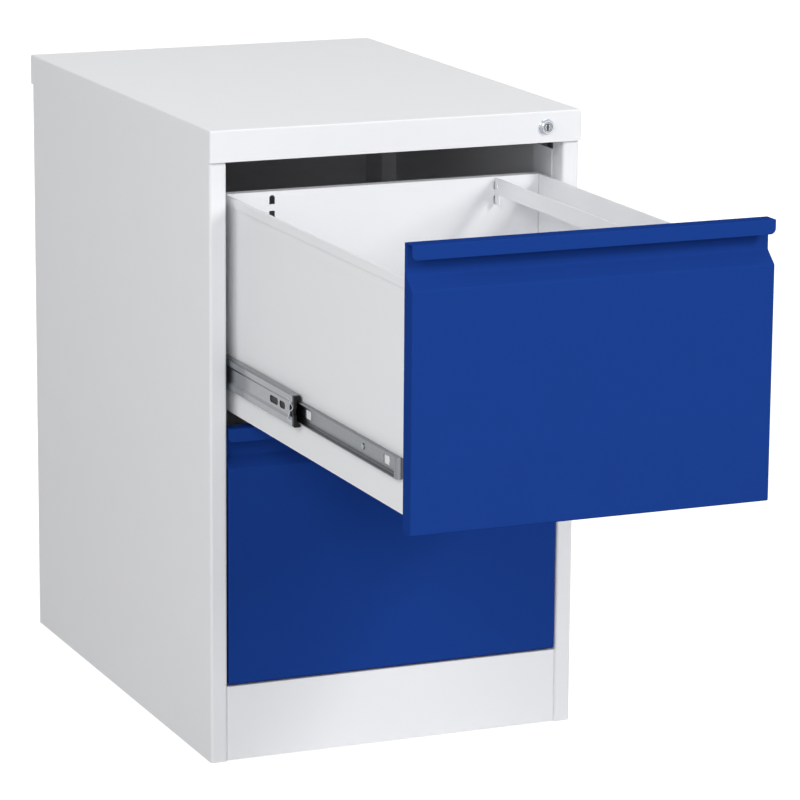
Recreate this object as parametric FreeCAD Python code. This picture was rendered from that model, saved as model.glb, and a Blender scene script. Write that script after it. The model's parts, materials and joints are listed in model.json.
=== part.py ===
import FreeCAD, Part
import math
import os

# A steel filing cabinet with two drawers, a cam lock and ball-bearing slides.
# Millimetres. Z is up, the front faces -Y, and the origin lies on the floor
# under the middle of the cap. The upper drawer is drawn open.

V = FreeCAD.Vector

# Cabinet
width = 460.0
depth = 645.0
height = 740.0
panel = 0.8
bend = 1.2
corner = 2.0

# Cap: its skirt hangs over the panels below it
cap_skirt = 36.5
cap_side_lap = 1.0
cap_end_lap = 4.0
cap_hem = 2.6

# Side panels, each folded into a front post and a rear flange
post_face = 20.5
post_return = 28.0
post_bend = 2.8
rear_flange = 16.0
floor_flange = 19.0

# Plinth and base
plinth_top = 89.5
plinth_lift = 1.0
plinth_setback = 1.0
plinth_return = 16.0
base_drop = 3.5
base_flange = 15.0
gusset_leg = 62.0
gusset_plate = 2.0
foot_hole = 10.0
foot_hole_inset = 38.0
foot_hole_side = 34.0

# Header rail behind the skirt
header_height = 33.0
header_return = 16.0

# Uprights that carry the slides
upright_width = 54.0
upright_setback = 30.0
upright_top_gap = 14.0
upright_sheet = 1.0
rear_upright_gap = 42.0

# Drawer fronts: a folded shell with a pull lip along its top
front_edge_gap = 2.5
front_gap = 3.0
front_side_gap = 2.0
front_depth = 20.0
front_sheet = 0.8
lip_height = 15.5
lip_sheet = 1.6
lip_corner = 6.0
neck_depth = 15.5
neck_below_top = 34.0
face_below_top = 47.5

# Drawer boxes
drawer_sheet = 0.8
drawer_bend = 0.6
drawer_depth = 560.0
drawer_flange = 12.0
box_rise = 12.0
box_height = 250.0
hem_height = 11.0
hem_step = 2.2
bottom_ledge = 13.0
tab_end_gap = 1.5
liner_gap = 0.3

# Hanging bars and the slots that hold them
bar_offset = 140.0
bar_height = 19.0
bar_sheet = 1.2
bar_drop = 1.0
tab_height = 7.0
tab_reach = 3.0
slot_width = 6.8
slot_height = 10.4
slot_pitch = 18.0
slot_top_drop = 4.5
bar_side_shift = 1.9
tab_seat = 0.8
tab_leg = 12.0
bar_end_gap = 0.3
bar_hole = 3.5
bar_hole_inset = 8.0

# Ball-bearing slides: an outer, a middle and an inner rail, nested
slide_space = 12.7
slide_rise = 49.0
slide_setback = 45.0
rail_sheet = 1.0
outer_height = 42.0
middle_height = 35.0
inner_height = 23.4
rail_overrun = 10.0
inner_end_gap = 5.0
outer_lip = 2.2
middle_lip = 1.4
inner_reach = 6.9
middle_back = 2.1
joggle = 1.5
joggle_rise = 3.0
band_height = 7.2
cage_sheet = 0.5
cage_gap = 0.3
ball_gap = 0.1
ball_count = 8
cage_end = 9.0
outer_cage_setback = 145.0
outer_cage_length = 236.0
inner_cage_setback = 236.0
inner_cage_length = 134.0
outer_cage_lip = 3.5
inner_cage_lip = 1.6
outer_ball_place = 6.5
inner_ball_place = 4.3
stop_setback = 16.0
stop_length = 5.0
stop_lip = 2.8
stop_play = 0.4
tongue_length = 76.0
tongue_trim = 4.0
stop_notch = 8.0
stop_notch_depth = 2.5
rail_hole = 4.2
inner_bend = 0.8
end_round = 6.5
end_wall = 7.5

# Openings along the rails' webs, by their distance behind the rail's front
middle_slot_places = (68.0, 465.0)
middle_slot = 24.0
middle_short_slot_place = 46.5
middle_short_slot = 16.5
middle_slot_height = 8.0
end_notch = 12.0
end_notch_height = 15.0
end_notch_round = 5.0
inner_slot_places = (33.5, 252.0, 380.0)
inner_slot = 15.5
inner_slot_height = 10.0
inner_front_screw = 105.0
inner_middle_screw = 300.0
inner_rear_screw = 40.0
outer_front_screw = 12.0
outer_rear_screw = 14.0

# How far the upper drawer stands open, and how far the slides run
shown_opening = 524.0

# Lock in the skirt
lock_inset = 45.5
lock_drop = 18.0
lock_head_radius = 9.2
lock_rim_radius = 6.9
lock_head = 5.0
lock_body_radius = 8.0
lock_length = 31.5
lock_fit = 0.05
plug_radius = 6.0
plug_sink = 0.5
keyway_width = 1.7
keyway_height = 8.0
keyway_depth = 15.0
nut_flats = 22.0
nut_thickness = 4.0
cam_gap = 0.3
cam_thickness = 2.0
cam_hub_radius = 6.0
crank_radius = 9.0
crank_swing = 45.0
crank_pin_radius = 2.0
crank_end_radius = 4.0
cam_screw_head = 1.2
cam_screw_radius = 4.0
cam_screw_shank = 1.6

# Lock bar, which drops in front of a catch on each drawer
bar_plate = 2.0
bar_strip = 8.0
bar_clear = 3.5
strip_setback = 50.0
strip_bottom = 120.0
arm_gap = 1.5
arm_height = 16.0
arm_slot_play = 0.5
hook_height = 10.0
hook_rise = 150.0
hook_gap = 1.5
hook_side_gap = 3.7
catch_gap = 4.0
catch_plate = 1.5
catch_reach = 10.2
catch_foot = 20.0
guide_height = 8.0
guide_wall = 2.0
guide_play = 0.3

# Screws
screw_radius = 2.0
screw_head_radius = 3.5
flush_head_radius = 3.0
screw_head = 0.9
screw_end = 1.2
hole_play = 0.1

# Places that follow from the sizes above
front = -depth / 2
rear = depth / 2
body_front = front + cap_end_lap
body_rear = rear - cap_end_lap
body_half = width / 2 - cap_side_lap
opening_half = body_half - post_face
cap_bottom = height - cap_skirt
cap_under = height - panel
panel_top = cap_under - bend
front_height = (cap_bottom - plinth_top - 2 * front_edge_gap - front_gap) / 2
drawer_pitch = front_height + front_gap
front_half = opening_half - front_side_gap
box_half = opening_half - slide_space
box_start = body_front + front_depth
side_length = drawer_depth + drawer_flange - front_depth
slide_start = body_front + slide_setback
inner_length = drawer_depth - slide_setback - inner_end_gap
outer_length = inner_length + rail_overrun
upright_top = cap_bottom - upright_top_gap
base_top = plinth_top - base_drop + panel
front_upright = body_front + upright_setback
rear_upright = body_rear - rear_upright_gap - upright_width
lock_x = width / 2 - lock_inset
lock_z = height - lock_drop
drawer_floors = {"lower": plinth_top + front_edge_gap}
drawer_floors["upper"] = drawer_floors["lower"] + drawer_pitch
openings = {"lower": 0.0, "upper": shown_opening}

# Slide section, as distances out from the drawer's side
outer_web = slide_space - rail_sheet
outer_cage_web = outer_web - cage_gap - cage_sheet
middle_face = slide_space - middle_back
middle_web = middle_face - rail_sheet
middle_inner = middle_web - joggle
inner_cage_web = middle_inner - cage_gap - cage_sheet
outer_race = outer_height / 2 - rail_sheet
middle_race = middle_height / 2 - rail_sheet

# Lock bar places
strip_x = opening_half + bar_clear
strip_y = front + cap_end_lap + strip_setback
arm_y = front + lock_length + cam_gap + cam_thickness + arm_gap
crank_angle = math.radians(crank_swing)
crank_x = crank_radius * math.cos(crank_angle)
crank_z = crank_radius * math.sin(crank_angle)
lock_travel = 2 * crank_z
arm_z = lock_z + crank_z


def box(x0, x1, y0, y1, z0, z1):
    """A block between two corners."""
    return Part.makeBox(x1 - x0, y1 - y0, z1 - z0, V(x0, y0, z0))


def join(shapes):
    """One solid from pieces that touch or overlap."""
    return shapes[0].fuse(shapes[1:]).removeSplitter()


def cut(shape, tools):
    """A shape with the tools taken out of it."""
    return shape.cut(Part.makeCompound(tools))


def mirror(shape):
    """The same piece on the cabinet's other side."""
    return shape.mirror(V(0, 0, 0), V(1, 0, 0))


def moved(shape, x=0.0, y=0.0, z=0.0):
    """A copy of a shape, shifted."""
    copy = shape.copy()
    copy.translate(V(x, y, z))
    return copy


def rod(x, y, z, radius, length, axis):
    """A cylinder that starts at a point and runs along an axis."""
    return Part.makeCylinder(radius, length, V(x, y, z), axis)


def export(name, shape):
    """Writes one named piece to its own file."""
    shape.exportStep("parts/" + name + ".step")


def on_plan(z):
    """Places a flat point (x, y) at a height."""
    return lambda a, b: V(a, b, z)


def on_front(y):
    """Places a flat point (x, z) at a distance back."""
    return lambda a, b: V(a, y, b)


def on_side(x):
    """Places a flat point (y, z) at a distance across."""
    return lambda a, b: V(x, a, b)


def corner_cut(before, point, after, radius):
    """Start, middle and end of the round at one corner of a path."""
    ax, az = point[0] - before[0], point[1] - before[1]
    bx, bz = after[0] - point[0], after[1] - point[1]
    la, lb = math.hypot(ax, az), math.hypot(bx, bz)
    ax, az, bx, bz = ax / la, az / la, bx / lb, bz / lb
    turn = math.atan2(ax * bz - az * bx, ax * bx + az * bz)
    reach = radius * math.tan(abs(turn) / 2)
    side = 1.0 if turn > 0 else -1.0
    start = (point[0] - ax * reach, point[1] - az * reach)
    end = (point[0] + bx * reach, point[1] + bz * reach)
    centre = (start[0] - az * radius * side, start[1] + ax * radius * side)
    mx, mz = point[0] - centre[0], point[1] - centre[1]
    size = math.hypot(mx, mz)
    middle = (centre[0] + mx / size * radius, centre[1] + mz / size * radius)
    return start, middle, end, turn


def path_edges(points, radii, place, closed=False):
    """Straight and round edges through points, with a radius at each."""
    count = len(points)
    edges = []
    first = last = None
    for i in range(count):
        point = points[i]
        if radii[i] > 0 and (closed or 0 < i < count - 1):
            after = points[(i + 1) % count]
            start, middle, end, _ = corner_cut(points[i - 1], point, after, radii[i])
        else:
            start, middle, end = point, None, point
        if last is not None and math.dist(last, start) > 1e-6:
            edges.append(Part.LineSegment(place(*last), place(*start)).toShape())
        if middle is not None:
            arc = Part.Arc(place(*start), place(*middle), place(*end))
            edges.append(arc.toShape())
        first = start if first is None else first
        last = end
    if closed:
        edges.append(Part.LineSegment(place(*last), place(*first)).toShape())
    return edges, first, last


def rounded(points, radii, place, along):
    """A block whose outline is a closed path with rounded corners."""
    edges, _, _ = path_edges(points, radii, place, closed=True)
    return Part.Face(Part.Wire(edges)).extrude(along)


def folded(points, sheet, side, place, along, radius=bend):
    """Sheet metal folded along a path. Side 1 puts the sheet left of it."""
    count = len(points)
    normals = []
    for a, b in zip(points, points[1:]):
        run = math.dist(a, b)
        normals.append((-(b[1] - a[1]) / run * side, (b[0] - a[0]) / run * side))
    other, near, far = [], [], []
    for i, point in enumerate(points):
        m = normals[max(i - 1, 0)]
        n = normals[min(i, count - 2)]
        scale = sheet / (1 + m[0] * n[0] + m[1] * n[1])
        other.append((point[0] + (m[0] + n[0]) * scale, point[1] + (m[1] + n[1]) * scale))
        inside = (m[0] * -n[1] + m[1] * n[0]) * side
        straight = i in (0, count - 1) or abs(inside) < 1e-9
        turns_to_sheet = straight or (m[0] * n[1] - m[1] * n[0]) * side > 0
        near.append(0.0 if straight else radius + (sheet if turns_to_sheet else 0.0))
        far.append(0.0 if straight else radius + (0.0 if turns_to_sheet else sheet))
    edges, a0, a1 = path_edges(points, near, place)
    back, b0, b1 = path_edges(other, far, place)
    edges.append(Part.LineSegment(place(*a1), place(*b1)).toShape())
    edges.append(Part.LineSegment(place(*a0), place(*b0)).toShape())
    wire = Part.Wire(Part.__sortEdges__(edges + back))
    return Part.Face(wire).extrude(along)


def oblong(x0, x1, y, z_mid, length, height_, radius):
    """A slot through a rail's web, long along Y, with rounded corners."""
    a, b = y, y + length
    c, d = z_mid - height_ / 2, z_mid + height_ / 2
    points = [(a, c), (b, c), (b, d), (a, d)]
    return rounded(points, [radius] * 4, on_side(x0), V(x1 - x0, 0, 0))


def make_cap():
    """The lid: a flat top with a skirt folded down all round."""
    top = box(-width / 2, width / 2, front, rear, cap_bottom, height)
    edges = [e for e in top.Edges if e.BoundBox.ZMax > cap_bottom + panel]
    top = top.makeFillet(corner, edges)
    inside = width / 2 - panel
    hollow = box(-inside, inside, front + panel, rear - panel, cap_bottom - 1, cap_under)
    edges = [e for e in hollow.Edges if e.BoundBox.ZMax > cap_bottom + panel]
    hollow = hollow.makeFillet(bend, edges)
    hem = box(-opening_half, opening_half, front + panel / 2, front + panel + cap_hem,
              cap_bottom, cap_bottom + panel)
    hole = rod(lock_x, front - 1, lock_z, lock_body_radius + hole_play, panel + 2, V(0, 1, 0))
    return cut(join([top.cut(hollow), hem]), [hole])


def make_side_panel():
    """The right side: post return, post face, side wall and rear flange."""
    flange = body_half - rear_flange
    outline = [(opening_half, body_front + post_return), (opening_half, body_front),
               (body_half, body_front), (body_half, body_rear), (flange, body_rear)]
    wall = folded(outline, panel, 1, on_plan(0), V(0, 0, panel_top), post_bend)
    foot = box(body_half - panel - floor_flange, body_half - panel / 2,
               body_front + post_return + panel, body_rear - panel - post_bend, 0, panel)
    return join([wall, foot])


def make_back_panel():
    """The back, which lies against the rear flanges of the sides."""
    half = body_half - panel - post_bend
    return box(-half, half, body_rear - 2 * panel, body_rear - panel, 0, panel_top)


def make_plinth():
    """The kick panel between the posts."""
    half = opening_half - hole_play
    y0 = body_front + plinth_setback
    outline = [(-half, y0 + plinth_return), (-half, y0), (half, y0), (half, y0 + plinth_return)]
    skirt = folded(outline, panel, 1, on_plan(plinth_lift), V(0, 0, plinth_top - plinth_lift))
    inner = half - 2 * panel
    shelf = box(-inner, inner, y0 + panel / 2, y0 + plinth_return, plinth_top - panel, plinth_top)
    foot = box(-inner, inner, y0 + panel / 2, y0 + plinth_return, plinth_lift, plinth_lift + panel)
    return join([skirt, shelf, foot])


def make_base_panel():
    """The floor of the carcass, with its side flanges turned down."""
    half = body_half - panel - hole_play
    y0 = body_front + post_return + hole_play
    outline = [(half, base_top - base_flange), (half, base_top), (-half, base_top),
               (-half, base_top - base_flange)]
    length = body_rear - panel - post_bend - y0
    return folded(outline, panel, 1, on_front(y0), V(0, length, 0))


def make_base_gussets():
    """Four corner plates beside the floor flanges, each with a foot hole."""
    x1 = body_half - panel - floor_flange - hole_play
    y0 = body_front + post_return + 2 * panel
    y1 = body_rear - 2 * panel - hole_play
    plates = []
    for y, way in ((y0, 1.0), (y1, -1.0)):
        points = [(x1, y), (x1, y + way * gusset_leg), (x1 - gusset_leg, y)]
        plate = rounded(points, [0.0, 0.0, 0.0], on_plan(0), V(0, 0, gusset_plate))
        drill_y = way * (body_front + foot_hole_inset)
        drill = rod(body_half - foot_hole_side, drill_y, -1, foot_hole / 2, gusset_plate + 2, V(0, 0, 1))
        plate = plate.cut(drill)
        plates += [plate, mirror(plate)]
    return Part.makeCompound(plates)


def make_header():
    """The cross rail behind the skirt, which carries the lock."""
    y0 = body_front
    top = cap_under
    outline = [(y0 + header_return, top), (y0, top), (y0, top - header_height),
               (y0 + header_return, top - header_height)]
    half = opening_half - hole_play
    rail = folded(outline, panel, 1, on_side(-half), V(2 * half, 0, 0))
    hole = rod(lock_x, y0 - 1, lock_z, lock_body_radius + hole_play, panel + 2, V(0, 1, 0))
    return rail.cut(hole)


def make_upright(y0):
    """A channel from the base to the top, open towards the side wall."""
    x0, x1 = opening_half, body_half - panel
    y1 = y0 + upright_width
    outline = [(x1, y0), (x0, y0), (x0, y1), (x1, y1)]
    bar = folded(outline, upright_sheet, -1, on_plan(base_top), V(0, 0, upright_top - base_top))
    holes = []
    for floor in drawer_floors.values():
        for y in outer_screw_places():
            if y0 < y < y1:
                z = floor + box_rise + slide_rise
                reach = upright_sheet + 2
                holes.append(rod(x0 - 1, y, z, screw_radius + hole_play, reach, V(1, 0, 0)))
    return cut(bar, holes)


def make_front_upright(with_hooks):
    """A front channel. The right one has a slot for each lock hook."""
    upright = make_upright(front_upright)
    if not with_hooks:
        return upright
    slots = []
    for floor in drawer_floors.values():
        top = floor + hook_rise + hook_height + 2
        low = floor + hook_rise - lock_travel - 2
        slots.append(box(opening_half - 1, opening_half + upright_sheet + 1,
                         strip_y - 1, strip_y + bar_plate + 1, low, top))
    return cut(upright, slots)


def outer_screw_places():
    """Distances back of the screws that hold the outer rails."""
    return (front_upright + upright_width - outer_front_screw, rear_upright + outer_rear_screw)


def countersink(x, y, z, play):
    """A flush screw head through the outer rail, or with play its hole."""
    return Part.makeCone(flush_head_radius + play, screw_radius + play, rail_sheet, V(x, y, z), V(1, 0, 0))


def make_outer_rail():
    """The right outer rail: a C with its web against the uprights."""
    x0, x1 = box_half + outer_lip, box_half + slide_space
    h = outer_height / 2
    outline = [(x0, h), (x1, h), (x1, -h), (x0, -h)]
    rail = folded(outline, rail_sheet, -1, on_front(slide_start), V(0, outer_length, 0), 0.8)
    start = x1 - rail_sheet
    return cut(rail, [countersink(start, y, 0, hole_play) for y in outer_screw_places()])


def make_middle_rail():
    """The right middle rail: a C with a sunk band along its web."""
    y0 = slide_start + stop_setback + stop_length
    y1 = slide_start + outer_length
    x0, x1 = box_half + middle_lip, box_half + middle_face
    xi = box_half + middle_inner
    h = middle_height / 2
    b = h - band_height
    step = [(x0, h), (x1, h), (x1, b), (x1 - joggle, b - joggle_rise), (x1 - joggle, -b + joggle_rise),
            (x1, -b), (x1, -h), (x0, -h)]
    rail = folded(step, rail_sheet, -1, on_front(y0), V(0, y1 - y0, 0), 0.5)
    high = middle_slot_height
    cuts = [oblong(xi - 1, x1 + 1, slide_start + place, 0, middle_slot, high, high / 2.4)
            for place in middle_slot_places]
    cuts.append(oblong(xi - 1, x1 + 1, slide_start + middle_short_slot_place, 0, middle_short_slot,
                       high, high / 2.1))
    cuts.append(oblong(xi - 1, x1 + 1, y0 - end_notch, 0, 2 * end_notch, end_notch_height, end_notch_round))
    return cut(rail, cuts)


def make_rail_stop():
    """The plastic end of the right middle rail, open for the inner rail."""
    x0, x1 = box_half + stop_lip, box_half + middle_face
    xt = box_half + inner_reach + stop_play
    y0 = slide_start + stop_setback
    y1 = y0 + stop_length
    h = middle_height / 2
    hi = inner_height / 2 + stop_play
    points = [(x0, h), (x1, h), (x1, -h), (x0, -h), (x0, -hi), (xt, -hi), (xt, hi), (x0, hi)]
    radii = [0.6, 1.4, 1.4, 0.6, 0.0, 0.8, 0.8, 0.0]
    body = rounded(points, radii, on_front(y0), V(0, stop_length, 0))
    tongue = box(xt, box_half + middle_inner - hole_play, y1 - 2, y1 + tongue_length,
                 -hi + tongue_trim, hi - tongue_trim)
    notch = box(x0 - 1, x1 + 1, y0 - 1, y0 + stop_notch_depth, -stop_notch / 2, stop_notch / 2)
    return join([body.cut(notch), tongue])


def make_inner_rail():
    """The right inner rail: a C fixed to the drawer. Its web is drawn round
    to close the front end."""
    x0, x1 = box_half, box_half + inner_reach
    h = inner_height / 2
    outline = [(x1, h), (x0, h), (x0, -h), (x1, -h)]
    y = slide_start
    rail = folded(outline, rail_sheet, 1, on_front(y), V(0, inner_length, 0), inner_bend)
    plan = [(x0, y), (x1, y), (x1, y + inner_length), (x0, y + inner_length)]
    rail = rail.common(rounded(plan, [0.0, end_round, 0.0, 0.0], on_plan(-h), V(0, 0, 2 * h)))
    turn = inner_bend + rail_sheet
    envelope = rounded(outline, [0.0, turn, turn, 0.0], on_front(y), V(0, end_wall, 0))
    path = [(x0, y), (x1, y), (x1, y + end_wall)]
    wall = folded(path, rail_sheet, 1, on_plan(-h), V(0, 0, 2 * h), end_round - rail_sheet)
    wall = wall.common(envelope)
    reach = x0 + rail_sheet + hole_play
    cuts = [oblong(x0 - 1, reach, y + place, 0, inner_slot, inner_slot_height, inner_slot_height / 6)
            for place in inner_slot_places]
    for place in inner_screw_places():
        cuts.append(rod(x0 - 1, place, 0, rail_hole / 2, rail_sheet + 2, V(1, 0, 0)))
    return cut(join([rail, wall]), cuts)


def inner_screw_places():
    """Distances back of the screws that hold the inner rails, when closed."""
    rear_screw = inner_length - inner_rear_screw
    return [slide_start + s for s in (inner_front_screw, inner_middle_screw, rear_screw)]


def make_cage(start, length, web, flange_from, centre, radius, ball_x):
    """A right ball cage: a folded strip with two rows of loose balls."""
    y0 = slide_start + start
    x0, x1 = box_half + flange_from, box_half + web + cage_sheet
    h = centre + cage_sheet / 2
    outline = [(x0, h), (x1, h), (x1, -h), (x0, -h)]
    strip = folded(outline, cage_sheet, -1, on_front(y0), V(0, length, 0), 0.3)
    pitch = (length - 2 * cage_end) / (ball_count - 1)
    holes, balls = [], []
    for side in (-1, 1):
        for i in range(ball_count):
            y = y0 + cage_end + i * pitch
            at = V(box_half + ball_x, y, side * centre)
            balls.append(Part.makeSphere(radius, at))
            low = side * centre - cage_sheet
            holes.append(rod(at.x, y, low, radius + ball_gap, 2 * cage_sheet, V(0, 0, 1)))
    return Part.makeCompound([cut(strip, holes)] + balls)


def make_outer_cage():
    """Balls between the outer and the middle rail."""
    middle_top = middle_height / 2
    radius = (outer_race - middle_top) / 2 - ball_gap
    centre = (outer_race + middle_top) / 2
    return make_cage(outer_cage_setback, outer_cage_length, outer_cage_web, outer_cage_lip,
                     centre, radius, outer_ball_place)


def make_inner_cage():
    """Balls between the middle and the inner rail."""
    inner_top = inner_height / 2
    radius = (middle_race - inner_top) / 2 - ball_gap
    centre = (middle_race + inner_top) / 2
    return make_cage(inner_cage_setback, inner_cage_length, inner_cage_web, inner_cage_lip,
                     centre, radius, inner_ball_place)


def front_outline(inset, top):
    """Side view of a drawer front: face, slope, neck and open back."""
    y = body_front
    slope_low = front_height - face_below_top
    slope_high = front_height - neck_below_top
    lean = math.atan2(neck_depth, slope_high - slope_low)
    shift = inset * math.tan(lean / 2)
    back = y + front_depth + inset
    return [(back, inset), (y + inset, inset), (y + inset, slope_low - shift),
            (y + neck_depth + inset, slope_high - shift), (y + neck_depth + inset, top),
            (back, top)]


def make_front_shell():
    """The coloured front: a hollow shell with its pull lip on top."""
    outer = rounded(front_outline(0.0, front_height), [0.0, corner, 4.0, 4.0, 0.0, 0.0],
                    on_side(-front_half), V(2 * front_half, 0, 0))
    slope_low = front_height - face_below_top
    sides = []
    for edge in outer.Edges:
        bounds = edge.BoundBox
        upright = bounds.XLength < 1e-6 and bounds.YLength < 1e-6
        if upright and bounds.YMax < body_front + 1e-3 and bounds.ZMax < slope_low + 1:
            sides.append(edge)
    outer = outer.makeFillet(corner - front_sheet, sides)
    inner_half = front_half - front_sheet
    hollow = rounded(front_outline(front_sheet, front_height - front_sheet),
                     [0.0, bend, 3.2, 4.8, 0.0, 0.0], on_side(-inner_half), V(2 * inner_half, 0, 0))
    y = body_front
    lip_low = front_height - lip_height
    outline = [(-front_half, lip_low), (front_half, lip_low), (front_half, front_height),
               (-front_half, front_height)]
    lip = rounded(outline, [lip_corner, lip_corner, 0.0, 0.0], on_front(y), V(0, lip_sheet, 0))
    roof = box(-front_half, front_half, y, y + neck_depth + front_sheet,
               front_height - front_sheet, front_height)
    pull = join([lip, roof])
    edges = []
    for edge in pull.Edges:
        bounds = edge.BoundBox
        if bounds.XLength > front_half and bounds.YMax < y + 1e-3 and bounds.ZMin > front_height - 1:
            edges.append(edge)
    pull = pull.makeFillet(1.0, edges)
    return join([outer.cut(hollow), pull])


def slot_tools(y, thickness):
    """Cutters for the four pairs of bar slots in a sheet at y."""
    tools = []
    top = box_rise + box_height - slot_top_drop
    for x in (-bar_offset, bar_offset):
        for n in range(2):
            high = top - n * slot_pitch
            points = [(x - slot_width / 2, high - slot_height), (x + slot_width / 2, high - slot_height),
                      (x + slot_width / 2, high), (x - slot_width / 2, high)]
            round_top = slot_width / 2 - 0.1
            radii = [0.6, 0.6, round_top, round_top] if n == 0 else [round_top, round_top, 0.6, 0.6]
            tools.append(rounded(points, radii, on_front(y - 1), V(0, thickness + 2, 0)))
    return tools


def make_liner():
    """The white inner panel that closes the back of the front."""
    half = front_half - front_sheet - liner_gap
    y1 = body_front + front_depth
    low = front_sheet + liner_gap
    top = front_height - front_sheet - liner_gap
    sheet = box(-half, half, y1 - front_sheet, y1, low, top)
    return cut(sheet, slot_tools(y1 - front_sheet, front_sheet))


def make_drawer_side():
    """The right side of a drawer, hemmed outwards along its top."""
    t = drawer_sheet
    low, top = box_rise, box_rise + box_height
    inner = box_half - t
    path = [(inner, low), (inner, top), (box_half + hem_step, top), (box_half + hem_step, top - hem_height)]
    wall = folded(path, t, -1, on_front(box_start), V(0, side_length, 0), drawer_bend)
    holes = []
    for y in inner_screw_places():
        z = box_rise + slide_rise
        holes.append(rod(inner - 1, y, z, screw_radius + hole_play, t + 2, V(1, 0, 0)))
    return cut(wall, holes)


def make_edge_strips():
    """Strips welded to a drawer's sides: upright ones that hold its front,
    and ledges that its bottom lies on."""
    t = drawer_sheet
    inner = box_half - t
    low, top = box_rise + 2 * t + tab_end_gap, box_rise + box_height - t - tab_end_gap
    tab = box(inner - drawer_flange, inner, box_start, box_start + t, low, top)
    ledge = box(inner - bottom_ledge, inner, box_start, box_start + side_length, box_rise, box_rise + t)
    return Part.makeCompound([tab, mirror(tab), ledge, mirror(ledge)])


def make_drawer_back():
    """The back of a drawer, with its top and sides folded rearwards."""
    t = drawer_sheet
    half = box_half - t - hole_play
    y0 = body_front + drawer_depth - t
    low, top = box_rise + 2 * t + hole_play, box_rise + box_height
    outline = [(half, y0 + t + drawer_flange), (half, y0), (-half, y0), (-half, y0 + t + drawer_flange)]
    wall = folded(outline, t, -1, on_plan(low), V(0, 0, top - low), drawer_bend)
    inner = half - 2 * t
    shelf = box(-inner, inner, y0 + t / 2, y0 + t + drawer_flange, top - t, top)
    return cut(join([wall, shelf]), slot_tools(y0, t))


def make_drawer_bottom():
    """The sheet that lies on the ledges of the drawer's sides."""
    t = drawer_sheet
    half = box_half - t - hole_play
    gap = drawer_sheet + hole_play
    y0 = box_start + gap
    y1 = body_front + drawer_depth + drawer_flange
    low = box_rise + t
    return box(-half, half, y0, y1, low, low + t)


def make_hanging_bar():
    """A steel strip on edge, with two tabs at each end in the slots."""
    top = box_rise + box_height - bar_drop
    y0 = box_start + bar_end_gap
    y1 = body_front + drawer_depth - drawer_sheet - bar_end_gap
    x0 = bar_offset - bar_side_shift
    x1 = x0 + bar_sheet
    pieces = [box(x0, x1, y0, y1, top - bar_height, top)]
    slot_top = box_rise + box_height - slot_top_drop
    for n in range(2):
        low = slot_top - n * slot_pitch - slot_height + tab_seat
        high = min(low + tab_height, top)
        start = y0 - tab_reach
        if low < top - bar_height:
            pieces.append(box(x0, x1, y0, y0 + tab_leg, low, top - bar_height + 1))
            pieces.append(box(x0, x1, y1 - tab_leg, y1, low, top - bar_height + 1))
        pieces.append(box(x0, x1, start, y0 + 2, low, high))
        pieces.append(box(x0, x1, y1 - 2, y1 + tab_reach, low, high))
    holes = []
    for y in (y0 + bar_hole_inset, y1 - bar_hole_inset):
        holes.append(rod(x0 - 1, y, top - bar_height / 2, bar_hole / 2, bar_sheet + 2, V(1, 0, 0)))
    return cut(join(pieces), holes)


def make_catch():
    """The bracket on a drawer's right side that the lock hook stops."""
    x0 = box_half
    y0 = strip_y + bar_plate + catch_gap
    top = hook_rise - hook_gap
    low = top - hook_height
    path = [(x0 + catch_reach, y0), (x0, y0), (x0, y0 + catch_foot)]
    return folded(path, catch_plate, -1, on_plan(low), V(0, 0, hook_height), drawer_bend)


def make_drawer_screws():
    """The screws that hold the inner rails to a drawer's sides."""
    screws = []
    for y in inner_screw_places():
        z = box_rise + slide_rise
        start = box_half + rail_sheet
        head = rod(start, y, z, screw_head_radius, screw_head, V(1, 0, 0))
        reach = rail_sheet + drawer_sheet + screw_end
        shank = rod(start - reach, y, z, screw_radius, reach + screw_head / 2, V(1, 0, 0))
        rim = [e for e in head.Edges if e.BoundBox.XMin > start + screw_head / 2]
        head = head.makeFillet(screw_head / 3, rim)
        screw = join([head, shank])
        screws += [screw, mirror(screw)]
    return Part.makeCompound(screws)


def make_rail_screws():
    """The flush screws that hold the outer rails to the uprights."""
    screws = []
    for floor in drawer_floors.values():
        z = floor + box_rise + slide_rise
        for y in outer_screw_places():
            start = opening_half - rail_sheet
            reach = rail_sheet + upright_sheet + screw_end
            shank = rod(start, y, z, screw_radius, reach, V(1, 0, 0))
            screw = join([countersink(start, y, z, 0.0), shank])
            screws += [screw, mirror(screw)]
    return Part.makeCompound(screws)


def spun(points):
    """A solid of revolution about the lock's axis from (radius, y) points."""
    corners = [V(lock_x + r, y, lock_z) for r, y in points]
    wire = Part.makePolygon(corners + corners[:1])
    return Part.Face(wire).revolve(V(lock_x, 0, lock_z), V(0, 1, 0), 360)


def make_lock_barrel():
    """The chromed housing in the skirt."""
    bore = plug_radius + lock_fit
    face = front - lock_head
    return spun([(bore, face), (lock_rim_radius, face), (lock_rim_radius + 0.7, face + 0.5),
                 (lock_head_radius - 0.6, front - 1.6), (lock_head_radius, front - 0.8),
                 (lock_head_radius, front), (lock_body_radius, front),
                 (lock_body_radius, front + lock_length), (bore, front + lock_length)])


def make_lock_nut():
    """The hexagon nut behind the header rail."""
    y0 = body_front + panel
    across = nut_flats / math.sqrt(3)
    corners = []
    for i in range(6):
        a = math.radians(60 * i + 30)
        corners.append(V(lock_x + across * math.cos(a), y0, lock_z + across * math.sin(a)))
    nut = Part.Face(Part.makePolygon(corners + corners[:1])).extrude(V(0, nut_thickness, 0))
    return nut.cut(rod(lock_x, y0 - 1, lock_z, lock_body_radius + lock_fit, nut_thickness + 2, V(0, 1, 0)))


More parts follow.
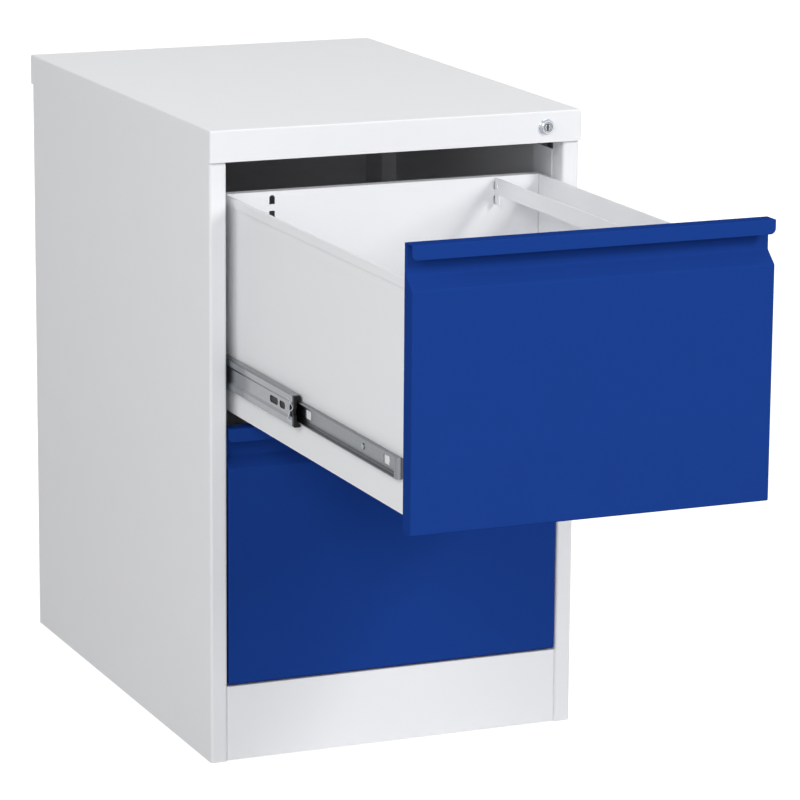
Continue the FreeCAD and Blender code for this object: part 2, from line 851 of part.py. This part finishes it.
def make_lock_plug():
    """The turning plug with its keyway, drawn unlocked."""
    face = front - lock_head + plug_sink
    end = front + lock_length + cam_gap
    plug = spun([(0, face), (plug_radius - 0.5, face), (plug_radius, face + 0.5), (plug_radius, end),
                 (0, end)])
    groove = spun([(plug_radius - 1.6, face - 1), (plug_radius - 1.0, face - 1),
                   (plug_radius - 1.0, face + 0.4), (plug_radius - 1.6, face + 0.4)])
    key = box(lock_x - keyway_width / 2, lock_x + keyway_width / 2, face - 1, face + keyway_depth,
              lock_z - keyway_height / 2, lock_z + keyway_height / 2)
    drill = rod(lock_x, end - 8, lock_z, cam_screw_shank + hole_play, 9, V(0, 1, 0))
    return cut(plug, [groove, key, drill])


def make_lock_cam():
    """The crank on the plug's end, with the pin that moves the lock bar."""
    y0 = front + lock_length + cam_gap
    px, pz = lock_x + crank_x, lock_z + crank_z
    hub = rod(lock_x, y0, lock_z, cam_hub_radius, cam_thickness, V(0, 1, 0))
    end = rod(px, y0, pz, crank_end_radius, cam_thickness, V(0, 1, 0))
    arm = box(0, crank_radius, y0, y0 + cam_thickness, -crank_end_radius, crank_end_radius)
    arm.rotate(V(0, 0, 0), V(0, 1, 0), -crank_swing)
    arm.translate(V(lock_x, 0, lock_z))
    pin_end = arm_y + bar_plate + 1 - y0
    pin = rod(px, y0, pz, crank_pin_radius, pin_end, V(0, 1, 0))
    hole = rod(lock_x, y0 - 1, lock_z, cam_screw_shank + hole_play, cam_thickness + 2, V(0, 1, 0))
    return cut(join([hub, end, arm, pin]), [hole])


def make_cam_screw():
    """The screw that holds the cam to the plug."""
    y0 = front + lock_length + cam_gap + cam_thickness
    head = rod(lock_x, y0, lock_z, cam_screw_radius, cam_screw_head, V(0, 1, 0))
    shank = rod(lock_x, y0 - 7, lock_z, cam_screw_shank, 7 + cam_screw_head / 2, V(0, 1, 0))
    cross = box(lock_x - 3, lock_x + 3, y0 + cam_screw_head / 2, y0 + 3, lock_z - 0.5, lock_z + 0.5)
    return join([head, shank]).cut(cross)


def make_lock_bar():
    """The bar with its arm at the cam and one hook for each drawer."""
    right = strip_x + bar_strip
    top = arm_z + arm_height / 2
    low = arm_z - arm_height / 2
    slot_left = lock_x + crank_x - crank_pin_radius - arm_slot_play
    slot_right = lock_x + crank_radius + crank_pin_radius + arm_slot_play
    slot_half = crank_pin_radius + arm_slot_play
    left = slot_left - 4
    pieces = [box(left, right, arm_y, arm_y + bar_plate, low, top),
              box(strip_x, right, arm_y, strip_y + bar_plate, low, low + bar_plate),
              box(strip_x, right, strip_y, strip_y + bar_plate, strip_bottom, low + bar_plate)]
    for floor in drawer_floors.values():
        z = floor + hook_rise
        pieces.append(box(box_half + hook_side_gap, strip_x + 1, strip_y, strip_y + bar_plate,
                          z, z + hook_height))
    slot = box(slot_left, slot_right, arm_y - 1, arm_y + bar_plate + 1,
               arm_z - slot_half, arm_z + slot_half)
    return join(pieces).cut(slot)


def make_guides():
    """Plastic blocks in the right front upright that guide the lock bar."""
    x0 = opening_half + upright_sheet
    x1 = strip_x + bar_strip + guide_wall + guide_play
    y0 = strip_y - guide_wall - guide_play
    y1 = strip_y + bar_plate + guide_wall + guide_play
    guides = []
    for z in (strip_bottom + 30, (strip_bottom + upright_top) / 2, upright_top - 30):
        block = box(x0, x1, y0, y1, z, z + guide_height)
        way = box(strip_x - guide_play, strip_x + bar_strip + guide_play, strip_y - guide_play,
                  strip_y + bar_plate + guide_play, z - 1, z + guide_height + 1)
        guides.append(block.cut(way))
    return Part.makeCompound(guides)


def export_drawer(name):
    """One drawer with its rails, cages and stops, at its shown opening."""
    floor = drawer_floors[name]
    opened = -openings[name]
    rail_z = floor + box_rise + slide_rise
    for piece, shape in (("drawer_front", make_front_shell()), ("front_liner", make_liner()),
                         ("right_side", make_drawer_side()), ("left_side", mirror(make_drawer_side())),
                         ("edge_strips", make_edge_strips()), ("drawer_back", make_drawer_back()),
                         ("drawer_bottom", make_drawer_bottom()),
                         ("hanging_bar", make_hanging_bar()), ("lock_catch", make_catch()),
                         ("drawer_screws", make_drawer_screws())):
        export(name + "_" + piece, moved(shape, y=opened, z=floor))
    both = (("right", lambda s: s), ("left", mirror))
    for side, turn in both:
        rail_set = (("outer_rail", make_outer_rail(), 0.0), ("middle_rail", make_middle_rail(), 0.5),
                    ("inner_rail", make_inner_rail(), 1.0))
        for piece, shape, share in rail_set:
            export("_".join((name, side, piece)), moved(turn(shape), y=opened * share, z=rail_z))
    for piece, shape, share in (("rail_stops", make_rail_stop(), 0.5),
                                ("outer_ball_cages", make_outer_cage(), 0.25),
                                ("inner_ball_cages", make_inner_cage(), 0.75)):
        pair = Part.makeCompound([shape, mirror(shape)])
        export(name + "_" + piece, moved(pair, y=opened * share, z=rail_z))


def main():
    os.makedirs("parts", exist_ok=True)
    side = make_side_panel()
    rear_channel = make_upright(rear_upright)
    carcass = {
        "top_cap": make_cap(), "right_side_panel": side, "left_side_panel": mirror(side),
        "back_panel": make_back_panel(), "plinth": make_plinth(), "base_panel": make_base_panel(),
        "base_gussets": make_base_gussets(), "header_rail": make_header(),
        "right_front_upright": make_front_upright(True),
        "left_front_upright": mirror(make_front_upright(False)),
        "right_rear_upright": rear_channel, "left_rear_upright": mirror(rear_channel),
        "rail_screws": make_rail_screws(), "lock_barrel": make_lock_barrel(),
        "lock_nut": make_lock_nut(), "lock_plug": make_lock_plug(), "lock_cam": make_lock_cam(),
        "lock_cam_screw": make_cam_screw(), "lock_bar": make_lock_bar(),
        "lock_bar_guides": make_guides(),
    }
    for name, shape in carcass.items():
        export(name, shape)
    for name in drawer_floors:
        export_drawer(name)


main()
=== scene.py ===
import json
import math

import bpy
from mathutils import Matrix, Vector


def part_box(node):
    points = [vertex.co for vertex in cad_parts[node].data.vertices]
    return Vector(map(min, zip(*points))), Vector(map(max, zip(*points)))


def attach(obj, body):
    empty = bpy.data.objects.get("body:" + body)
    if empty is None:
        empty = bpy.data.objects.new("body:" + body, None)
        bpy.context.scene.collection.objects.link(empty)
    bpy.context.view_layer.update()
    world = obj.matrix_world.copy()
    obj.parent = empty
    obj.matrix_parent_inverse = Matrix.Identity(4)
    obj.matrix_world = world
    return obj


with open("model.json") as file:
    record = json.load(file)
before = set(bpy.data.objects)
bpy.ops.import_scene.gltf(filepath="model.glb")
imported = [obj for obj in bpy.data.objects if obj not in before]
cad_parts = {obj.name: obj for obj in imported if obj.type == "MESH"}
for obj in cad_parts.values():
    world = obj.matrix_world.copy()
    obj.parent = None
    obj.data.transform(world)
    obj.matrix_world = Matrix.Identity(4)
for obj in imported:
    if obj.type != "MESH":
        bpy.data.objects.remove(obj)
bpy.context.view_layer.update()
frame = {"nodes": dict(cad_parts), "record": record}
nodes = frame["nodes"]

MM = 0.001

# Camera, solved from the photograph's edges: focal length in pixels of an
# 800 pixel frame, then azimuth, elevation, roll in degrees and place in metres
FRAME_PIXELS = 800
FOCAL_PIXELS = 4063.7
CAMERA_TURN = (-23.152, 12.940, -0.437)
CAMERA_PLACE = (-1.7955, -4.5292, 1.4643)
SENSOR = 36.0

# Strength of the room as a light
ROOM_LIGHT = 0.15

# The floor's own light, near the cabinet and far from it, with the two
# distances in metres; then its size, how far it lies below the cabinet, and
# its colour
FLOOR_GLOW = (0.80, 1.0)
FLOOR_REACH = (1.2, 3.6)
FLOOR_SIZE = 60.0
FLOOR_DROP = 0.0005
FLOOR_COLOUR = "#cacaca"

# Lamps: place, what it points at, diameter in metres, and watts. Two keys
# stand in front to the right, one lamp lights the back, and the rest fill
# from the left and above.
LAMPS = {
    "key_lamp": ((3.2, -4.2, 2.4), (0.0, -0.4, 0.45), 1.2, 52.0),
    "high_key_lamp": ((2.6, -3.9, 3.2), (0.0, -0.4, 0.45), 1.0, 78.0),
    "front_fill": ((-2.2, -4.4, 1.6), (0.0, -0.4, 0.45), 1.4, 30.0),
    "middle_fill": ((0.5, -5.4, 1.9), (0.0, -0.3, 0.40), 2.4, 9.0),
    "corner_fill": ((-2.8, -3.4, 3.0), (0.0, -0.4, 0.45), 1.8, 52.0),
    "side_fill": ((-4.0, -1.1, 3.0), (0.0, -0.2, 0.45), 2.2, 40.0),
    "low_fill": ((-3.4, -2.6, 0.9), (0.0, -0.4, 0.55), 1.0, 8.5),
    "over_lamp": ((0.3, 0.4, 4.5), (0.0, -0.1, 0.45), 3.0, 40.0),
    "back_lamp": ((5.0, 2.5, 0.9), (0.0, 0.3, 0.40), 2.4, 34.0),
}

# Sizes of the surface grain, in millimetres
PEEL_GRAIN = 1.4
PEEL_WAVE = 60.0
ROLLED_GRAIN = 0.5
SPANGLE = 7.0
LATHE_RING = 2.2
SPARK_GRAIN = 0.4

# Depths of the same grain, in millimetres
PEEL_DEPTH = 0.06
ROLLED_DEPTH = 0.02
RING_DEPTH = 0.15
SPARK_DEPTH = 0.03

# Width of a rolling line as a share of its length, and how far the gloss of
# the coat and the plastic strays from its mean
ROLLED_SHARE = 0.02
COAT_SPREAD = 0.06
PLASTIC_SPREAD = 0.08

# Latch springs on the slides, in millimetres: distance behind the rail's
# front end and height above its middle along the bent line, then how far it
# starts below the rail's face, its width, its sheet and its rounded edge
SPRING_LINE = ((15.0, 12.6), (10.0, 11.6), (5.0, 7.6), (0.0, 6.2), (-2.0, 3.8), (1.5, 1.0), (6.5, -1.0),
               (9.0, -5.2), (12.5, -10.4), (9.5, -12.4), (2.0, -11.8))
SPRING_SINK = 1.5
SPRING_WIDTH = 2.0
SPRING_SHEET = 1.0
SPRING_EDGE = 0.25

# A point on the lock's axis, in metres
LOCK_AXIS = (0.1845, 0.0, 0.722)


def linear(hex_colour):
    """An sRGB hex colour as the linear colour that a shader takes."""
    out = []
    for i in (1, 3, 5):
        c = int(hex_colour[i:i + 2], 16) / 255
        out.append(c / 12.92 if c <= 0.04045 else ((c + 0.055) / 1.055) ** 2.4)
    return (*out, 1.0)


def add(tree, kind, inputs=None, **settings):
    """Adds a node with its settings, values and links."""
    made = tree.nodes.new(kind)
    for name, value in settings.items():
        setattr(made, name, value)
    for name, value in (inputs or {}).items():
        if isinstance(value, bpy.types.NodeSocket):
            tree.links.new(value, made.inputs[name])
        else:
            made.inputs[name].default_value = value
    return made


def start_material(name):
    """A new material with its shader, and the piece's own coordinates."""
    made = bpy.data.materials.new(name)
    made.use_nodes = True
    tree = made.node_tree
    tree.nodes.clear()
    place = add(tree, "ShaderNodeTexCoord").outputs["Object"]
    shader = add(tree, "ShaderNodeBsdfPrincipled")
    add(tree, "ShaderNodeOutputMaterial", {"Surface": shader.outputs["BSDF"]})
    return made, tree, place, shader


def link(tree, output, shader, name):
    """Feeds one of the shader's inputs."""
    tree.links.new(output, shader.inputs[name])


def per_metre(size_mm):
    """A texture scale that gives a pattern of about this size."""
    return 1.0 / (size_mm * MM)


def powder_coat(name, colour, shade, roughness, specular):
    """Baked powder coat: an even colour, a satin sheen and a fine orange
    peel that softens what it mirrors. The peel is drawn a little coarse."""
    made, tree, place, shader = start_material(name)
    wave = add(tree, "ShaderNodeTexNoise", {"Vector": place, "Scale": per_metre(PEEL_WAVE), "Detail": 2.0})
    tint = add(tree, "ShaderNodeMix", {"Factor": wave.outputs["Fac"], "A": linear(shade), "B": linear(colour)},
               data_type="RGBA")
    link(tree, tint.outputs["Result"], shader, "Base Color")
    peel = add(tree, "ShaderNodeTexNoise", {"Vector": place, "Scale": per_metre(PEEL_GRAIN), "Detail": 3.0,
                                            "Roughness": 0.6})
    gloss = add(tree, "ShaderNodeMapRange", {"Value": peel.outputs["Fac"], "To Min": roughness - COAT_SPREAD,
                                             "To Max": roughness + COAT_SPREAD})
    link(tree, gloss.outputs["Result"], shader, "Roughness")
    bump = add(tree, "ShaderNodeBump", {"Height": peel.outputs["Fac"], "Strength": 0.25,
                                        "Distance": PEEL_DEPTH * MM})
    link(tree, bump.outputs["Normal"], shader, "Normal")
    shader.inputs["Specular IOR Level"].default_value = specular
    return made


def plated_steel(name, colour, shade, roughness, along, spread=0.12):
    """Steel strip with a bright zinc plate: faint rolling lines along one
    axis, and a gloss that changes a little from patch to patch."""
    made, tree, place, shader = start_material(name)
    stretch = [1.0, 1.0, 1.0]
    stretch[along] = ROLLED_SHARE
    lines = add(tree, "ShaderNodeMapping", {"Vector": place, "Scale": stretch})
    rolled = add(tree, "ShaderNodeTexNoise", {"Vector": lines.outputs["Vector"], "Scale": per_metre(ROLLED_GRAIN),
                                              "Detail": 4.0})
    patch = add(tree, "ShaderNodeTexNoise", {"Vector": place, "Scale": per_metre(SPANGLE), "Detail": 2.0})
    tint = add(tree, "ShaderNodeMix", {"Factor": patch.outputs["Fac"], "A": linear(shade), "B": linear(colour)},
               data_type="RGBA")
    link(tree, tint.outputs["Result"], shader, "Base Color")
    shader.inputs["Metallic"].default_value = 1.0
    gloss = add(tree, "ShaderNodeMapRange", {"Value": rolled.outputs["Fac"], "To Min": roughness - spread,
                                             "To Max": roughness + spread})
    link(tree, gloss.outputs["Result"], shader, "Roughness")
    bump = add(tree, "ShaderNodeBump", {"Height": rolled.outputs["Fac"], "Strength": 0.12,
                                        "Distance": ROLLED_DEPTH * MM})
    link(tree, bump.outputs["Normal"], shader, "Normal")
    return made


def turned_casting_painted_shade(name, colour, shade, roughness):
    """The lock plug's face: a nickelled casting turned on a lathe, with fine rings about the lock's axis, whose
    grooves are coloured darker as painted shade."""
    made, tree, place, shader = start_material(name)
    middle = add(tree, "ShaderNodeVectorMath", {0: place, 1: LOCK_AXIS}, operation="SUBTRACT")
    flat = add(tree, "ShaderNodeVectorMath", {0: middle.outputs["Vector"], 1: (1.0, 0.0, 1.0)},
               operation="MULTIPLY")
    away = add(tree, "ShaderNodeVectorMath", {0: flat.outputs["Vector"]}, operation="LENGTH")
    turns = add(tree, "ShaderNodeMath", {0: away.outputs["Value"], 1: 2 * math.pi * per_metre(LATHE_RING)},
                operation="MULTIPLY")
    rings = add(tree, "ShaderNodeMath", {0: turns.outputs["Value"]}, operation="SINE")
    # painted shade: the base colour runs from the dark shade colour in the rings' grooves to the plain colour on
    # their crests
    groove_painted_shade = add(tree, "ShaderNodeMapRange", {"Value": rings.outputs["Value"], "From Min": -1.0})
    tint = add(tree, "ShaderNodeMix", {"Factor": groove_painted_shade.outputs["Result"], "A": linear(shade),
                                       "B": linear(colour)}, data_type="RGBA")
    link(tree, tint.outputs["Result"], shader, "Base Color")
    shader.inputs["Metallic"].default_value = 1.0
    shader.inputs["Roughness"].default_value = roughness
    bump = add(tree, "ShaderNodeBump", {"Height": groove_painted_shade.outputs["Result"], "Strength": 0.6,
                                        "Distance": RING_DEPTH * MM})
    link(tree, bump.outputs["Normal"], shader, "Normal")
    return made


def moulded_plastic(name, colour, roughness, specular):
    """Injection-moulded plastic with the mould's fine spark texture."""
    made, tree, place, shader = start_material(name)
    grain = add(tree, "ShaderNodeTexNoise", {"Vector": place, "Scale": per_metre(SPARK_GRAIN), "Detail": 3.0})
    shader.inputs["Base Color"].default_value = linear(colour)
    gloss = add(tree, "ShaderNodeMapRange", {"Value": grain.outputs["Fac"], "To Min": roughness - PLASTIC_SPREAD,
                                             "To Max": roughness + PLASTIC_SPREAD})
    link(tree, gloss.outputs["Result"], shader, "Roughness")
    bump = add(tree, "ShaderNodeBump", {"Height": grain.outputs["Fac"], "Strength": 0.2,
                                        "Distance": SPARK_DEPTH * MM})
    link(tree, bump.outputs["Normal"], shader, "Normal")
    shader.inputs["Specular IOR Level"].default_value = specular
    return made


white_coat = powder_coat("white_powder_coat", "#f1f2f4", "#eff0f3", 0.40, 0.20)
blue_coat = powder_coat("blue_powder_coat", "#1c3f8e", "#1b3d8a", 0.45, 0.0)
zinc_plate = plated_steel("zinc_plated_steel", "#c4c7ca", "#b6b9bd", 0.34, 2)
slide_steel = plated_steel("rolled_slide_steel", "#8d9094", "#84878b", 0.19, 1, 0.05)
# A darker copy of the slide steel for the inner rails, which sit in shadow: painted shade
inner_steel_painted_shade = plated_steel("inner_rail_steel_painted_shade", "#7c7f82", "#75787c", 0.28, 1, 0.05)
galvanised = plated_steel("galvanised_sheet", "#c2c5c8", "#b1b5b9", 0.42, 2)
cage_steel = plated_steel("pressed_cage_steel", "#b9bcc0", "#aaadb2", 0.30, 1)
chrome = plated_steel("chromed_zinc_casting", "#c9ccd2", "#bfc3ca", 0.10, 2, 0.03)
# the plug's ring grooves carry painted shade in #606366
plug_metal_painted_shade = turned_casting_painted_shade("turned_lock_plug_painted_shade", "#b9bcbf", "#606366", 0.26)
black_plastic = moulded_plastic("black_moulded_plastic", "#141416", 0.55, 0.25)
guide_plastic = moulded_plastic("white_acetal", "#e8e8e4", 0.4, 0.5)

finishes = {
    "white_paint": white_coat, "blue_paint": blue_coat, "zinc_steel": zinc_plate, "slide_steel": slide_steel,
    "galvanised_steel": galvanised, "cage_steel": cage_steel, "chrome": chrome, "black_plastic": black_plastic,
    "guide_plastic": guide_plastic,
}

# Nodes whose finish differs from that of their slot; the inner rails take a darker copy of the slide steel, which
# is painted shade
own_finishes = {
    "lock_plug": plug_metal_painted_shade, "upper_left_inner_rail": inner_steel_painted_shade, "upper_right_inner_rail": inner_steel_painted_shade,
    "lower_left_inner_rail": inner_steel_painted_shade, "lower_right_inner_rail": inner_steel_painted_shade,
    "upper_drawer_screws": slide_steel, "lower_drawer_screws": slide_steel,
}


def dress_nodes():
    """Gives each CAD node the finish of its material slot."""
    for row in frame["record"]["subparts"]:
        mesh = nodes[row["node"]].data
        mesh.materials.clear()
        mesh.materials.append(own_finishes.get(row["node"], finishes[row["material_slot"]]))


def make_latch_spring(drawer, side):
    """The bent spring at the front of a middle rail. It lies in the rail's
    sunk band and crosses the notch in its end, over the plastic."""
    low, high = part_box("%s_%s_middle_rail" % (drawer, side))
    middle = (low[2] + high[2]) / 2
    out = -1.0 if side == "left" else 1.0
    face = low[0] if side == "left" else high[0]
    bpy.ops.object.select_all(action="DESELECT")
    bpy.ops.mesh.primitive_plane_add(size=1.0, location=(0, 0, 0))
    spring = bpy.context.object
    spring.name = "%s_%s_latch_spring" % (drawer, side)
    bpy.ops.object.mode_set(mode="EDIT")
    bpy.ops.mesh.select_all(action="SELECT")
    bpy.ops.mesh.merge(type="CENTER")
    bpy.ops.mesh.select_all(action="SELECT")
    back, up = SPRING_LINE[0]
    bpy.ops.transform.translate(value=(face - out * SPRING_SINK * MM, low[1] + back * MM, middle + up * MM))
    for (y0, z0), (y1, z1) in zip(SPRING_LINE, SPRING_LINE[1:]):
        step = (0, (y1 - y0) * MM, (z1 - z0) * MM)
        bpy.ops.mesh.extrude_region_move(TRANSFORM_OT_translate={"value": step})
    bpy.ops.mesh.select_all(action="SELECT")
    bpy.ops.mesh.extrude_region_move(TRANSFORM_OT_translate={"value": (out * SPRING_WIDTH * MM, 0, 0)})
    bpy.ops.mesh.select_all(action="SELECT")
    bpy.ops.mesh.remove_doubles(threshold=0.00001)
    bpy.ops.object.mode_set(mode="OBJECT")
    for kind, settings in (("SOLIDIFY", {"thickness": SPRING_SHEET * MM, "offset": 0.0}),
                           ("BEVEL", {"width": SPRING_EDGE * MM, "segments": 2})):
        modifier = spring.modifiers.new(kind.lower(), kind)
        for name, value in settings.items():
            setattr(modifier, name, value)
        bpy.ops.object.modifier_apply(modifier=modifier.name)
    bpy.ops.object.mode_set(mode="EDIT")
    bpy.ops.mesh.select_all(action="SELECT")
    bpy.ops.mesh.normals_make_consistent(inside=False)
    bpy.ops.object.mode_set(mode="OBJECT")
    spring.data.materials.append(zinc_plate)
    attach(spring, drawer + "_middle_rails")


def make_camera():
    """The photograph's camera, from its turn and place."""
    azimuth, elevation, roll = (math.radians(a) for a in CAMERA_TURN)
    back = Vector((math.sin(azimuth) * math.cos(elevation), -math.cos(azimuth) * math.cos(elevation),
                   math.sin(elevation)))
    right = Vector((0, 0, 1)).cross(back).normalized()
    up = back.cross(right)
    turned_right = right * math.cos(roll) - up * math.sin(roll)
    turned_up = right * math.sin(roll) + up * math.cos(roll)
    lens = bpy.data.cameras.new("camera")
    lens.sensor_width = SENSOR
    lens.lens = FOCAL_PIXELS * SENSOR / FRAME_PIXELS
    lens.clip_end = 100.0
    camera = bpy.data.objects.new("camera", lens)
    bpy.context.scene.collection.objects.link(camera)
    turn = Matrix((turned_right, turned_up, back)).transposed().to_4x4()
    camera.matrix_world = Matrix.Translation(CAMERA_PLACE) @ turn
    bpy.context.scene.camera = camera


def make_lamp(name, place, target, size, watts):
    """A round soft lamp that points at its target."""
    lamp = bpy.data.lights.new(name, "AREA")
    lamp.shape = "DISK"
    lamp.size = size
    lamp.energy = watts
    holder = bpy.data.objects.new(name, lamp)
    bpy.context.scene.collection.objects.link(holder)
    holder.location = place
    aim = Vector(target) - Vector(place)
    holder.rotation_mode = "QUATERNION"
    holder.rotation_quaternion = aim.to_track_quat("-Z", "Y")


def seen_rays(tree):
    """1 for what the camera sees, also in a mirror or through glass, and 0
    for what lights the object."""
    path = add(tree, "ShaderNodeLightPath")
    seen = path.outputs["Is Camera Ray"]
    for kind in ("Is Glossy Ray", "Is Transmission Ray"):
        seen = add(tree, "ShaderNodeMath", {0: seen, 1: path.outputs[kind]}, operation="MAXIMUM").outputs[0]
    return seen


def make_world():
    """A pale room: white to the camera and to what mirrors it, and dimmer
    as a light."""
    world = bpy.data.worlds.new("pale_room")
    bpy.context.scene.world = world
    world.use_nodes = True
    tree = world.node_tree
    tree.nodes.clear()
    room = add(tree, "ShaderNodeBackground", {"Color": (1, 1, 1, 1), "Strength": ROOM_LIGHT})
    white = add(tree, "ShaderNodeBackground", {"Color": (1, 1, 1, 1), "Strength": 1.0})
    mixed = add(tree, "ShaderNodeMixShader", {0: seen_rays(tree), 1: room.outputs[0], 2: white.outputs[0]})
    add(tree, "ShaderNodeOutputWorld", {"Surface": mixed.outputs[0]})


def make_floor():
    """A plain pale floor. To the camera and to what mirrors it, most of its
    brightness is its own, so it is white with a faint shadow."""
    bpy.ops.object.select_all(action="DESELECT")
    bpy.ops.mesh.primitive_plane_add(size=FLOOR_SIZE, location=(0, 0, -FLOOR_DROP))
    floor = bpy.context.object
    floor.name = "floor"
    made, tree, place, shader = start_material("pale_floor")
    shader.inputs["Base Color"].default_value = linear(FLOOR_COLOUR)
    shader.inputs["Roughness"].default_value = 0.9
    shader.inputs["Specular IOR Level"].default_value = 0.0
    away = add(tree, "ShaderNodeVectorMath", {0: place}, operation="LENGTH")
    glow = add(tree, "ShaderNodeMapRange", {"Value": away.outputs["Value"], "From Min": FLOOR_REACH[0],
                                            "From Max": FLOOR_REACH[1], "To Min": FLOOR_GLOW[0],
                                            "To Max": FLOOR_GLOW[1]})
    own_light = add(tree, "ShaderNodeEmission", {"Color": (1, 1, 1, 1), "Strength": glow.outputs["Result"]})
    together = add(tree, "ShaderNodeAddShader", {0: shader.outputs["BSDF"], 1: own_light.outputs[0]})
    mixed = add(tree, "ShaderNodeMixShader", {0: seen_rays(tree), 1: shader.outputs["BSDF"],
                                              2: together.outputs[0]})
    ends = [n for n in tree.nodes if n.type == "OUTPUT_MATERIAL"]
    tree.links.new(mixed.outputs[0], ends[0].inputs["Surface"])
    floor.data.materials.append(made)


dress_nodes()
for drawer_name in ("upper", "lower"):
    for side_name in ("left", "right"):
        make_latch_spring(drawer_name, side_name)
make_camera()
make_world()
make_floor()
for lamp_name, (place, target, size, watts) in LAMPS.items():
    make_lamp(lamp_name, place, target, size, watts)

scene = bpy.context.scene
scene.view_settings.view_transform = "Standard"
